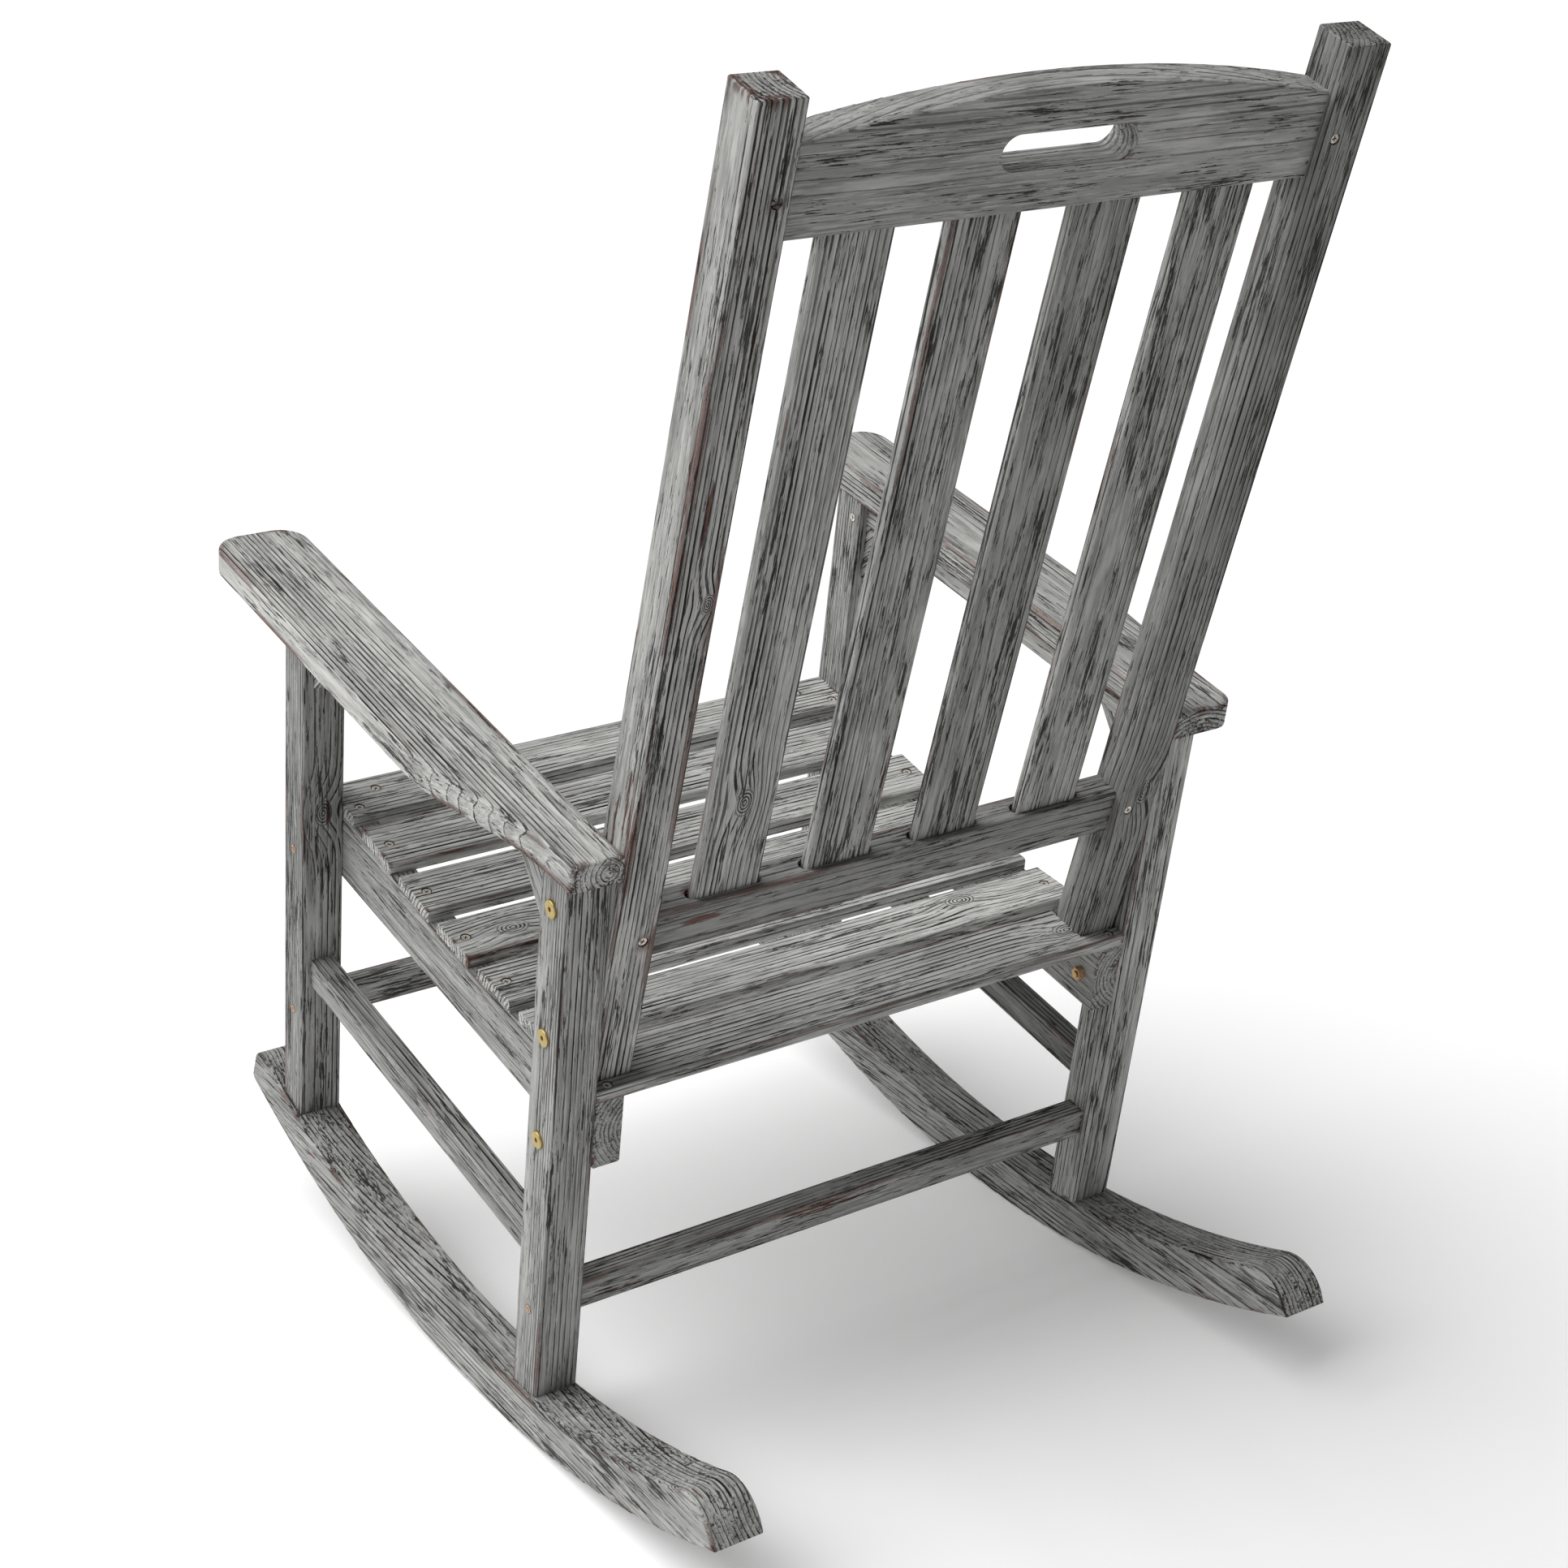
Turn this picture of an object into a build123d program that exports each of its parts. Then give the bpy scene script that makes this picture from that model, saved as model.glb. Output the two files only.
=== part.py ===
from build123d import *
import os
from math import asin, atan2, cos, radians, sin, sqrt, tan

# A slatted porch rocking chair in square-edged softwood, in millimetres.
# X runs across the chair with the sitter's left at +X, the sitter faces -Y, and Z is up.
# The chair is drawn at rest, leaning back until its weight stands over the rockers' contact line.
# Every piece is set out in the chair's own axes (the planes level, side and back below), in which
# the legs are upright and zero is the lowest point of the rockers' arc.

# ---- driving dimensions ---------------------------------------------------------------------

REST_LEAN = 11.8         # degrees that the chair leans back when nobody sits in it

# rockers
ROCKER_R = 1074.0        # radius of the sole
ROCKER_DEPTH = 43.0      # from sole to top
ROCKER_T = 45.0          # across the chair
ROCKER_SET = 2.0         # middle of a rocker, outside the middle of its legs
NOSE_ANGLE = 14.8        # degrees of arc ahead of the lowest point
TAIL_ANGLE = 32.7        # degrees of arc behind it
NOSE_ROUND = 15.0
SOLE_ROUND = 6.0
TAIL_ROUND = 37.0

# legs
LEG = 39.0               # square section
LEG_GAP = 531.0          # clear width between the left and right legs
FRONT_LEG_Y = -210.0     # front face of the front legs
LEG_SPAN = 465.5         # from there to the front face of the rear legs
ARM_Z = 601.0            # top of the legs, underside of the arms
FOOT_SINK = 0.8          # how far a foot is let into its rocker

# seat
RAIL_T = 25.0            # side rail across the chair
RAIL_BOTTOM = 316.0
RAIL_H = 65.5
DISH = 11.0              # how far the seat dips in the middle
SLAT_T = 11.0
SLAT_EASE = 3.0          # rounded top edges of a slat
SLAT_GAP = 16.0
REAR_SLAT_GAP = 11.0     # ahead of the rear slat
SLAT_COUNT = 7
FRONT_SLAT_W = 59.5
REAR_SLAT_W = 61.0
FRONT_RAIL_T = 22.0
FRONT_RAIL_SET = 10.0    # behind the front face of the legs

# back
POST = 38.5              # square section
POST_TILT = 8.0          # degrees behind the legs
POST_L = 850.5
POST_CHAMFER = 1.0       # round the top of a post
POST_FOOT_SET = 15.0     # a post's back face at its foot, ahead of the rear leg's back face
BACK_T = 28.0            # crest rail and lower back rail
BACK_SET = 9.0           # their back faces, ahead of the posts' back faces
CREST_DROP = 38.0        # from a post's head down to the crest's end
CREST_END_H = 68.0
CREST_RISE = 23.0        # rise of the crest's arc in the middle
GRIP_L = 117.0           # hand-hold slot
GRIP_H = 28.0
GRIP_UP = 45.5           # its middle, above the crest's lower edge
LOWER_BOTTOM = 125.5     # along the posts, from their feet
LOWER_H = 42.0
BACK_SLAT_W = 58.0
BACK_SLAT_T = 12.0
BACK_SLAT_SET = 15.5     # back faces of the slats, ahead of the posts' back faces
BACK_SLAT_PITCH = 104.7
BACK_SLAT_COUNT = 4
SLAT_HOUSING = 15.0      # depth that the slats enter each rail
HOUSING_L = 69.0         # routed housing, round at both ends

# arms
ARM_T = 23.0
ARM_W = 80.0
ARM_FRONT = 64.0         # overhang ahead of the front legs
ARM_BACK = 15.5          # overhang behind the rear legs
ARM_CORNER = 25.0
ARM_TAPER_L = 208.0      # an arm narrows over this length at its back end
LEFT_TAIL_W = 45.0       # width of each arm at its back end
RIGHT_TAIL_W = 66.0
RIGHT_TAIL_CORNER = 18.0
ARM_RAIL_T = 22.0
ARM_RAIL_H = 24.0
BRACKET_T = 20.0
BRACKET_L = 54.0
BRACKET_H = 58.0

# stretchers
STRETCHER_T = 22.0
STRETCHER_H = 28.0
SIDE_STRETCHER_Z = 205.0
CROSS_STRETCHER_Z = 159.0
REAR_STRETCHER_SET = 7.0  # behind the front face of the rear legs

# fastenings and fits
BOLT_R = 3.0
BOLT_L = 72.0
BOLT_HEAD_R = 7.6
BOLT_HEAD_T = 2.4
BOLT_SOCKET = 4.0        # hexagon socket, across flats
BOLT_SOCKET_DEPTH = 1.8
RAIL_BOLT_Z = 346.0      # through a rear leg and the side rail
LOW_BOLT_Z = 446.0       # through a rear leg into the post
HIGH_BOLT_Z = 566.0
NUT_FLATS = 11.0
NUT_T = 6.0
SCREW_R = 2.0            # seat screws: shank, and head at the surface
SCREW_HEAD_R = 4.5
SCREW_EDGE = 14.5        # from the front slat's back edge, or from a rail's end, to a screw
POST_HOLE_R = 4.5        # sunk holes in the posts' back faces, for the screws into the rails
POST_HOLE_DEPTH = 6.0
POST_HOLE_SET = 11.0     # from a post's inner face
LOW_HOLE_UP = 26.5       # above the lower rail's bottom edge
TENON = 12.0             # length of the stub tenons
TENON_SHOULDER = 5.0     # wood left beside a tenon
FIT = 0.2                # a mortise is this much wider all round than its tenon
END_ROOM = 0.8           # and this much deeper
BORE_FIT = 0.3           # a bolt hole's radius over its bolt's
EASE = 2.0               # rounded long edges
ARM_EASE = 3.0

# ---- places that follow from them -----------------------------------------------------------

leg_in = LEG_GAP / 2
leg_mid = leg_in + LEG / 2
leg_out = leg_in + LEG
front_leg_back = FRONT_LEG_Y + LEG
rear_leg_y = FRONT_LEG_Y + LEG_SPAN
rear_leg_back = rear_leg_y + LEG
rail_top = RAIL_BOTTOM + RAIL_H
rail_in = leg_in - RAIL_T
post_in = leg_in - POST
post_foot_y = rear_leg_back - POST_FOOT_SET
tilt = radians(POST_TILT)
lean = radians(REST_LEAN)

# The origin is on the floor, midway between the rockers' noses and the backs of the posts' heads.
nose_r = ROCKER_R - SOLE_ROUND
nose_y = -nose_r * sin(radians(NOSE_ANGLE) + lean - asin(SOLE_ROUND / nose_r)) - SOLE_ROUND
head_l = POST_L - POST_CHAMFER
head_y = post_foot_y * cos(lean) + (rail_top - ROCKER_R) * sin(lean) + head_l * sin(tilt + lean)
middle_y = (nose_y + head_y) / 2

# The sole's centre stands one radius above the floor, and the chair turns about it.
chair = Plane(
    origin=(0, -middle_y - ROCKER_R * sin(lean), ROCKER_R * (1 - cos(lean))),
    x_dir=(1, 0, 0),
    z_dir=(0, sin(lean), cos(lean)),
)


def level(z):
    """Plane square to the legs at height z: local x across the chair, local y to the back."""
    return chair.offset(z)


def side(x):
    """Upright fore-and-aft plane at x: local x to the back, local y up the legs."""
    place = chair.from_local_coords((x, 0, 0))
    return Plane(origin=place, x_dir=chair.y_dir, z_dir=chair.x_dir)


# The posts' back faces: local x across, local y up the posts, and offsets go forward.
back = Plane(
    origin=chair.from_local_coords((0, post_foot_y, rail_top)),
    x_dir=chair.x_dir,
    z_dir=chair.z_dir * sin(tilt) - chair.y_dir * cos(tilt),
)


def across_back(up):
    """Plane square to the posts: local x across, local y from their back faces to the rear."""
    return Plane(origin=back.from_local_coords((0, up, 0)), x_dir=back.x_dir, z_dir=back.y_dir)


def rocker_top(y):
    """Height of a rocker's top at y."""
    return ROCKER_R - sqrt((ROCKER_R - ROCKER_DEPTH) ** 2 - y**2)


def foot_seat(y):
    """Sloping flat on which the foot of the leg with its front face at y stands."""
    low = rocker_top(y)
    high = rocker_top(y + LEG)
    slope = atan2(high - low, LEG)
    place = chair.from_local_coords((leg_mid, y + LEG / 2, (low + high) / 2 - FOOT_SINK))
    up = chair.z_dir * cos(slope) - chair.y_dir * sin(slope)
    return Plane(origin=place, x_dir=chair.x_dir, z_dir=up)


os.makedirs("parts", exist_ok=True)


def save(piece, name):
    """Label a finished piece and write it as its own STEP file."""
    piece.part.label = name
    export_step(piece.part, f"parts/{name}.step")


def save_pair(piece, name):
    """Write a left-hand piece, and its mirror image as the right-hand one."""
    save(piece, f"{name}_left")
    with BuildPart() as other:
        mirror(piece.part, about=Plane.YZ)
    save(other, f"{name}_right")


# ---- rockers: sawn to two concentric arcs, a flat and a mortise for each foot ----------------

with BuildPart() as rocker:
    with BuildSketch(side(leg_mid + ROCKER_SET - ROCKER_T / 2)) as rocker_shape:
        with BuildLine():
            swing = NOSE_ANGLE + TAIL_ANGLE
            sole = CenterArc((0, ROCKER_R), ROCKER_R, -90 - NOSE_ANGLE, swing)
            top = CenterArc((0, ROCKER_R), ROCKER_R - ROCKER_DEPTH, -90 - NOSE_ANGLE, swing)
            Line(sole @ 0, top @ 0)
            Line(sole @ 1, top @ 1)
        make_face()
        ends = rocker_shape.vertices().sort_by(Axis.X)
        fillet(ends[0], SOLE_ROUND)
        corners = rocker_shape.vertices().sort_by_distance(top @ 0)
        fillet(corners[0], NOSE_ROUND)
        corners = rocker_shape.vertices().sort_by_distance(top @ 1)
        fillet(corners[0], TAIL_ROUND)
    extrude(amount=ROCKER_T)
    fillet(faces().filter_by(Axis.X).edges(), EASE)
    for foot_y in (FRONT_LEG_Y, rear_leg_y):
        seat = foot_seat(foot_y)
        foot_l = LEG / seat.z_dir.dot(chair.z_dir)
        with BuildSketch(seat):
            Rectangle(LEG + 2 * FIT, foot_l + 2 * FIT)
        extrude(amount=ROCKER_DEPTH / 4, dir=chair.z_dir, mode=Mode.SUBTRACT)
        with BuildSketch(seat):
            Rectangle(LEG / 2 + 2 * FIT, LEG / 2 + 2 * FIT)
        extrude(amount=-(TENON + END_ROOM), mode=Mode.SUBTRACT)
save_pair(rocker, "rocker")

# ---- legs: square posts with stub tenons into rocker and arm, and mortised for stretchers ----

rear_stretcher_y = rear_leg_y + REAR_STRETCHER_SET
front_stretcher_y = front_leg_back - REAR_STRETCHER_SET - STRETCHER_T
side_stretcher_x = leg_mid - STRETCHER_T / 2
rear_leg_mid = rear_leg_y + LEG / 2
rail_bolt = (rear_leg_mid, RAIL_BOLT_Z)
post_bolts = [(rear_leg_mid, LOW_BOLT_Z), (rear_leg_mid, HIGH_BOLT_Z)]
rear_bolts = [rail_bolt] + post_bolts

for name, leg_y, mortise_y, stretcher_y in (
    ("front_leg", FRONT_LEG_Y, front_leg_back, front_stretcher_y),
    ("rear_leg", rear_leg_y, rear_leg_y, rear_stretcher_y),
):
    seat = foot_seat(leg_y)
    with BuildPart() as leg:
        with BuildSketch(level(0)):
            with Locations((leg_mid, leg_y + LEG / 2)):
                Rectangle(LEG, LEG)
        extrude(amount=ARM_Z)
        fillet(edges().filter_by(lambda e: abs(e.tangent_at(0).dot(chair.z_dir)) > 0.999), EASE)
        split(bisect_by=seat, keep=Keep.TOP)
        with BuildSketch(seat):
            Rectangle(LEG / 2, LEG / 2)
        extrude(amount=-TENON)
        with BuildSketch(level(ARM_Z)):
            with Locations((leg_mid, leg_y + LEG / 2)):
                Rectangle(LEG / 2, LEG / 2)
        extrude(amount=TENON)
        tenon_t = STRETCHER_T - 2 * TENON_SHOULDER + 2 * FIT
        tenon_h = STRETCHER_H - 2 * TENON_SHOULDER + 2 * FIT
        with BuildSketch(level(SIDE_STRETCHER_Z + TENON_SHOULDER - FIT)):
            with Locations((leg_mid, mortise_y)):
                Rectangle(tenon_t, 2 * (TENON + END_ROOM))
        extrude(amount=tenon_h, mode=Mode.SUBTRACT)
        with BuildSketch(level(CROSS_STRETCHER_Z + TENON_SHOULDER - FIT)):
            with Locations((leg_in, stretcher_y + STRETCHER_T / 2)):
                Rectangle(2 * (TENON + END_ROOM), tenon_t)
        extrude(amount=tenon_h, mode=Mode.SUBTRACT)
        if name == "rear_leg":
            with BuildSketch(side(leg_in)):
                with Locations(*rear_bolts):
                    Circle(BOLT_R + BORE_FIT)
            extrude(amount=LEG, mode=Mode.SUBTRACT)
    save_pair(leg, name)

# ---- stretchers: light rails tenoned between the legs ----------------------------------------

with BuildPart() as side_stretcher:
    with BuildSketch(side(side_stretcher_x)):
        with Locations((front_leg_back, SIDE_STRETCHER_Z)):
            Rectangle(rear_leg_y - front_leg_back, STRETCHER_H, align=Align.MIN)
    extrude(amount=STRETCHER_T)
    fillet(edges().filter_by(lambda e: abs(e.tangent_at(0).dot(chair.y_dir)) > 0.999), EASE)
    with BuildSketch(side(side_stretcher_x + TENON_SHOULDER)):
        with Locations((front_leg_back - TENON, SIDE_STRETCHER_Z + TENON_SHOULDER)):
            Rectangle(
                rear_leg_y - front_leg_back + 2 * TENON,
                STRETCHER_H - 2 * TENON_SHOULDER,
                align=Align.MIN,
            )
    extrude(amount=STRETCHER_T - 2 * TENON_SHOULDER)
save_pair(side_stretcher, "side_stretcher")

for name, stretcher_y in (
    ("front_stretcher", front_stretcher_y),
    ("rear_stretcher", rear_stretcher_y),
):
    with BuildPart() as cross_stretcher:
        with BuildSketch(level(CROSS_STRETCHER_Z)):
            with Locations((0, stretcher_y + STRETCHER_T / 2)):
                Rectangle(LEG_GAP, STRETCHER_T)
        extrude(amount=STRETCHER_H)
        fillet(edges().filter_by(Axis.X), EASE)
        with BuildSketch(level(CROSS_STRETCHER_Z + TENON_SHOULDER)):
            with Locations((0, stretcher_y + STRETCHER_T / 2)):
                Rectangle(LEG_GAP + 2 * TENON, STRETCHER_T - 2 * TENON_SHOULDER)
        extrude(amount=STRETCHER_H - 2 * TENON_SHOULDER)
    save(cross_stretcher, name)

# ---- seat: dished side rails, a front rail between them, and seven slats ---------------------

# The rails' tops are planed in flats, one under each slat, that meet below the gaps.
gap_count = SLAT_COUNT - 1
first_gap = FRONT_LEG_Y + FRONT_SLAT_W + SLAT_GAP / 2
last_gap = rear_leg_back - REAR_SLAT_W - REAR_SLAT_GAP + SLAT_GAP / 2
slat_pitch = (last_gap - first_gap) / (gap_count - 1)
slat_w = slat_pitch - SLAT_GAP
gap_ys = [first_gap + i * slat_pitch for i in range(gap_count)]
dish_mid = (gap_ys[0] + gap_ys[-1]) / 2
dish_half = (gap_ys[-1] - gap_ys[0]) / 2
dish_r = (dish_half**2 + DISH**2) / (2 * DISH)


def seat_z(y):
    """Height of the rails' top at y: level at both ends, a shallow arc between."""
    return rail_top - DISH + dish_r - sqrt(dish_r**2 - (y - dish_mid) ** 2)


seat_line = [(y, seat_z(y)) for y in gap_ys]
front_rail_y = FRONT_LEG_Y + FRONT_RAIL_SET
front_tenon_h = RAIL_H - 4 * TENON_SHOULDER
front_tenon_t = FRONT_RAIL_T - 2 * TENON_SHOULDER
front_tenon_z = RAIL_BOTTOM + 2 * TENON_SHOULDER

with BuildPart() as side_rail:
    with BuildSketch(side(rail_in)):
        with BuildLine():
            Polyline(
                (FRONT_LEG_Y, RAIL_BOTTOM),
                (FRONT_LEG_Y, rail_top),
                *seat_line,
                (rear_leg_back, rail_top),
                (rear_leg_back, RAIL_BOTTOM),
                close=True,
            )
        make_face()
    extrude(amount=RAIL_T)
    rail_bottom = faces().sort_by(Axis((0, 0, 0), tuple(chair.z_dir)))[0]
    fillet(rail_bottom.edges().sort_by(SortBy.LENGTH)[-2:], EASE)
    with BuildSketch(side(rail_in)):
        with Locations(rail_bolt):
            Circle(BOLT_R + BORE_FIT)
    extrude(amount=RAIL_T, mode=Mode.SUBTRACT)
    with BuildSketch(level(front_tenon_z - FIT)):
        with Locations((rail_in, front_rail_y + FRONT_RAIL_T / 2)):
            Rectangle(2 * (TENON + END_ROOM), front_tenon_t + 2 * FIT)
    extrude(amount=front_tenon_h + 2 * FIT, mode=Mode.SUBTRACT)
save_pair(side_rail, "seat_side_rail")

with BuildPart() as front_rail:
    with BuildSketch(level(RAIL_BOTTOM)):
        with Locations((0, front_rail_y + FRONT_RAIL_T / 2)):
            Rectangle(2 * rail_in, FRONT_RAIL_T)
    extrude(amount=RAIL_H)
    fillet(edges().filter_by(Axis.X), EASE)
    with BuildSketch(level(front_tenon_z)):
        with Locations((0, front_rail_y + FRONT_RAIL_T / 2)):
            Rectangle(2 * (rail_in + TENON), front_tenon_t)
    extrude(amount=front_tenon_h)
save(front_rail, "seat_front_rail")


def slat_plane(start, end):
    """Plane on the rails' flat from start to end, each a (y, z) pair: local y to the back."""
    slope = atan2(end[1] - start[1], end[0] - start[0])
    place = ((start[0] + end[0]) / 2, (start[1] + end[1]) / 2)
    up = chair.z_dir * cos(slope) - chair.y_dir * sin(slope)
    return Plane(origin=chair.from_local_coords((0, *place)), x_dir=chair.x_dir, z_dir=up)


screw_x = rail_in + RAIL_T / 2
rear_slat_front = rear_leg_back - REAR_SLAT_W
notch_back = post_foot_y + SLAT_T * tan(tilt) + 2 * FIT
tongue = rear_leg_back - notch_back
front_edge = (FRONT_LEG_Y, rail_top)
front_slat_back = (FRONT_LEG_Y + FRONT_SLAT_W, rail_top)
slats = [(slat_plane(front_edge, front_slat_back), FRONT_SLAT_W)]
slats += [(slat_plane(a, b), slat_w) for a, b in zip(seat_line, seat_line[1:])]
slats += [(slat_plane((rear_slat_front, rail_top), (rear_leg_back, rail_top)), REAR_SLAT_W)]

for number, (plane, width) in enumerate(slats, start=1):
    screws = [(screw_x, 0)]
    if number == 1:
        screws = [
            (screw_x, width / 2 - SCREW_EDGE),
            (rail_in - SCREW_EDGE, FRONT_RAIL_SET + FRONT_RAIL_T / 2 - width / 2),
        ]
    if number == len(slats):
        screws = [(screw_x, (width - tongue) / 2)]
    with BuildPart() as slat:
        with BuildSketch(plane):
            Rectangle(LEG_GAP, width)
            if number == len(slats):
                with Locations((leg_in, -width / 2), (-leg_in, -width / 2)):
                    Rectangle(2 * (POST + FIT), 2 * (width - tongue), mode=Mode.SUBTRACT)
        extrude(amount=SLAT_T)
        slat_top = faces().sort_by(Axis((0, 0, 0), tuple(plane.z_dir)))[-1]
        long_edges = slat_top.edges().filter_by(Axis.X).sort_by(Axis.Y)
        fillet([long_edges[0], long_edges[-1]], SLAT_EASE)
        with Locations(plane.offset(SLAT_T)):
            with Locations(*[(hand * x, y) for x, y in screws for hand in (-1, 1)]):
                CounterSinkHole(SCREW_R + BORE_FIT, SCREW_HEAD_R + BORE_FIT)
    save(slat, f"seat_slat_{number}")

# ---- back: raked posts, arched crest with a hand-hold, lower rail, four housed slats ---------

crest_bottom = POST_L - CREST_DROP - CREST_END_H
crest_tenon_h = CREST_END_H - 4 * TENON_SHOULDER
crest_tenon_up = crest_bottom + CREST_END_H / 2
lower_tenon_h = LOWER_H - 2 * TENON_SHOULDER
lower_tenon_up = LOWER_BOTTOM + LOWER_H / 2
back_tenon_t = BACK_T / 2
back_tenon_set = BACK_SET + (BACK_T - back_tenon_t) / 2
post_hole_x = post_in + POST_HOLE_SET

with BuildPart() as post:
    with BuildSketch(back):
        with Locations((post_in, -POST)):
            Rectangle(POST, POST_L + POST, align=Align.MIN)
    extrude(amount=POST)
    fillet(edges().sort_by(SortBy.LENGTH)[-4:], EASE)
    post_head = faces().sort_by(Axis((0, 0, 0), tuple(back.y_dir)))[-1]
    chamfer(post_head.edges(), POST_CHAMFER)
    split(bisect_by=level(rail_top), keep=Keep.TOP)
    with BuildSketch(back.offset(back_tenon_set - FIT)):
        with Locations((post_in, crest_tenon_up)):
            Rectangle(2 * (TENON + END_ROOM), crest_tenon_h + 2 * FIT)
        with Locations((post_in, lower_tenon_up)):
            Rectangle(2 * (TENON + END_ROOM), lower_tenon_h + 2 * FIT)
    extrude(amount=back_tenon_t + 2 * FIT, mode=Mode.SUBTRACT)
    with BuildSketch(side(leg_in)):
        with Locations(*post_bolts):
            Circle(BOLT_R + BORE_FIT)
    extrude(amount=-(BOLT_L - LEG + END_ROOM), mode=Mode.SUBTRACT)
    with BuildSketch(back):
        with Locations((post_hole_x, crest_tenon_up), (post_hole_x, LOWER_BOTTOM + LOW_HOLE_UP)):
            Circle(POST_HOLE_R)
    extrude(amount=POST_HOLE_DEPTH, mode=Mode.SUBTRACT)
save_pair(post, "back_post")

slat_xs = [(i - (BACK_SLAT_COUNT - 1) / 2) * BACK_SLAT_PITCH for i in range(BACK_SLAT_COUNT)]
slat_y = -(BACK_SLAT_SET + BACK_SLAT_T / 2)

with BuildPart() as crest:
    with BuildSketch(back.offset(BACK_SET)):
        with BuildLine():
            low_left = (-post_in, crest_bottom)
            low_right = (post_in, crest_bottom)
            high_left = (-post_in, crest_bottom + CREST_END_H)
            high_right = (post_in, crest_bottom + CREST_END_H)
            peak = (0, crest_bottom + CREST_END_H + CREST_RISE)
            Polyline(high_left, low_left, low_right, high_right)
            ThreePointArc(high_right, peak, high_left)
        make_face()
    extrude(amount=BACK_T)
    fillet(edges().filter_by(GeomType.CIRCLE), EASE)
    fillet(edges().filter_by(Axis.X), EASE)
    with BuildSketch(back.offset(back_tenon_set)):
        with Locations((0, crest_tenon_up)):
            Rectangle(2 * (post_in + TENON), crest_tenon_h)
    extrude(amount=back_tenon_t)
    with BuildSketch(back.offset(BACK_SET)):
        with Locations((0, crest_bottom + GRIP_UP)):
            SlotOverall(GRIP_L, GRIP_H)
    extrude(amount=BACK_T, mode=Mode.SUBTRACT)
    with BuildSketch(across_back(crest_bottom)):
        with Locations(*[(x, slat_y) for x in slat_xs]):
            SlotOverall(HOUSING_L, BACK_SLAT_T + 2 * FIT)
    extrude(amount=SLAT_HOUSING + END_ROOM, mode=Mode.SUBTRACT)
save(crest, "crest_rail")

with BuildPart() as lower_rail:
    with BuildSketch(back.offset(BACK_SET)):
        with Locations((0, lower_tenon_up)):
            Rectangle(2 * post_in, LOWER_H)
    extrude(amount=BACK_T)
    fillet(edges().filter_by(Axis.X), EASE)
    with BuildSketch(back.offset(back_tenon_set)):
        with Locations((0, lower_tenon_up)):
            Rectangle(2 * (post_in + TENON), lower_tenon_h)
    extrude(amount=back_tenon_t)
    with BuildSketch(across_back(LOWER_BOTTOM + LOWER_H)):
        with Locations(*[(x, slat_y) for x in slat_xs]):
            SlotOverall(HOUSING_L, BACK_SLAT_T + 2 * FIT)
    extrude(amount=-SLAT_HOUSING, mode=Mode.SUBTRACT)
save(lower_rail, "lower_back_rail")

slat_foot = LOWER_BOTTOM + LOWER_H - SLAT_HOUSING
for number, x in enumerate(slat_xs, start=1):
    with BuildPart() as back_slat:
        with BuildSketch(across_back(slat_foot)):
            with Locations((x, slat_y)):
                Rectangle(BACK_SLAT_W, BACK_SLAT_T)
        extrude(amount=crest_bottom + SLAT_HOUSING - slat_foot)
        fillet(edges().sort_by(SortBy.LENGTH)[-4:], EASE)
    save(back_slat, f"back_slat_{number}")

# ---- arms: flat boards that narrow to the back, on rails and brackets between the legs -------

arm_out = leg_in + ARM_W
arm_front_y = FRONT_LEG_Y - ARM_FRONT
arm_back_y = rear_leg_back + ARM_BACK
waist_y = arm_back_y - ARM_TAPER_L
feet = [(leg_mid, y + LEG / 2) for y in (FRONT_LEG_Y, rear_leg_y)]

for name, hand, tail_w, tail_corner in (
    ("arm_left", 1, LEFT_TAIL_W, EASE),
    ("arm_right", -1, RIGHT_TAIL_W, RIGHT_TAIL_CORNER),
):
    tail_x = leg_in + tail_w
    with BuildPart() as arm:
        with BuildSketch(level(ARM_Z)) as arm_shape:
            with BuildLine():
                Polyline(
                    (hand * tail_x, arm_back_y),
                    (hand * leg_in, arm_back_y),
                    (hand * leg_in, arm_front_y),
                    (hand * arm_out, arm_front_y),
                    (hand * arm_out, waist_y),
                )
                Bezier(
                    (hand * arm_out, waist_y),
                    (hand * arm_out, waist_y + ARM_TAPER_L / 3),
                    (hand * tail_x, arm_back_y - ARM_TAPER_L / 2),
                    (hand * tail_x, arm_back_y),
                )
            make_face()
            fillet(arm_shape.vertices().group_by(Axis.Y)[0], ARM_CORNER)
            tail = arm_shape.vertices().sort_by_distance((hand * tail_x, arm_back_y))[0]
            fillet(tail, tail_corner)
        extrude(amount=ARM_T)
        arm_top = faces().sort_by(Axis((0, 0, 0), tuple(chair.z_dir)))[-1]
        fillet(arm_top.edges(), ARM_EASE)
        with BuildSketch(level(ARM_Z)):
            with Locations(*[(hand * x, y) for x, y in feet]):
                Rectangle(LEG / 2 + 2 * FIT, LEG / 2 + 2 * FIT)
        extrude(amount=TENON + END_ROOM, mode=Mode.SUBTRACT)
    save(arm, name)

arm_rail_x = leg_mid - ARM_RAIL_T / 2
arm_rail_z = ARM_Z - ARM_RAIL_H

with BuildPart() as arm_rail:
    with BuildSketch(side(arm_rail_x)):
        with Locations((front_leg_back, arm_rail_z)):
            Rectangle(rear_leg_y - front_leg_back, ARM_RAIL_H, align=Align.MIN)
    extrude(amount=ARM_RAIL_T)
    fillet(edges().filter_by(lambda e: abs(e.tangent_at(0).dot(chair.y_dir)) > 0.999), EASE)
save_pair(arm_rail, "arm_rail")

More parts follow.
